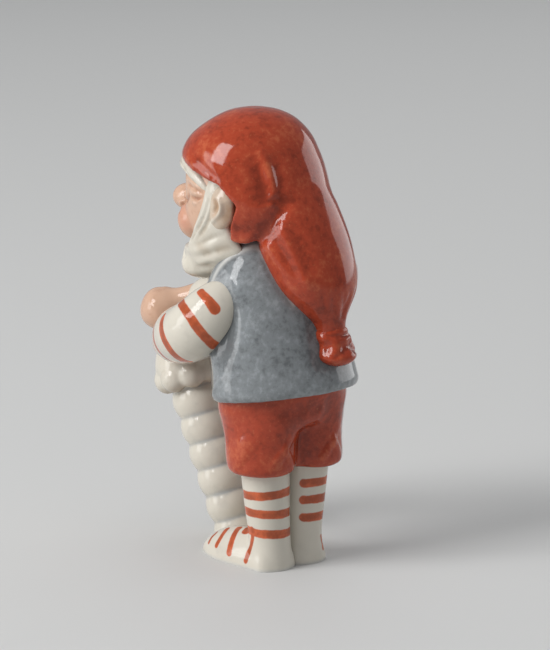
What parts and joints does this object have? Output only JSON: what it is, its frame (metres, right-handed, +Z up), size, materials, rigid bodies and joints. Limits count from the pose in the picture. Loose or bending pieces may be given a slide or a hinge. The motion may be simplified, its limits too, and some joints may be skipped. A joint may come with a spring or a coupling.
{
  "type": "gnome figurine",
  "caption": "Standing glazed porcelain gnome in a hanging cap, tunic and striped stockings, bowing over a ribbed cone that it holds in front of its feet.",
  "frame": {"origin": "on the standing surface, under the middle of the figure's bounding box", "axes": "+Z up, the figure faces -Y, and its left side is +X"},
  "size_m": [0.0518, 0.0736, 0.119],
  "materials": {
    "red_glaze": "iron-red underglaze, mottled, under a clear high-gloss glaze",
    "grey_glaze": "blue-grey underglaze, mottled, under a clear high-gloss glaze",
    "white_glaze": "warm white porcelain under a clear high-gloss glaze",
    "stocking_glaze": "warm white porcelain with red painted stripes under a clear high-gloss glaze",
    "sleeve_glaze": "warm white porcelain with red painted strokes under a clear high-gloss glaze",
    "flesh_glaze": "flesh underglaze under a clear high-gloss glaze"
  },
  "bodies": {
    "root": {"left_leg": "stocking_glaze", "right_leg": "stocking_glaze", "breeches": "red_glaze", "tunic": "grey_glaze", "left_sleeve": "sleeve_glaze", "right_sleeve": "sleeve_glaze", "left_hand": "flesh_glaze", "right_hand": "flesh_glaze", "head": "flesh_glaze", "left_ear": "flesh_glaze", "right_ear": "flesh_glaze", "left_eyebrow": "white_glaze", "right_eyebrow": "white_glaze", "beard": "white_glaze", "cap_crown": "red_glaze", "cap_tail": "red_glaze", "cap_tassel": "red_glaze", "cone_frill": "white_glaze", "cone": "white_glaze"}
  },
  "joints": []
}
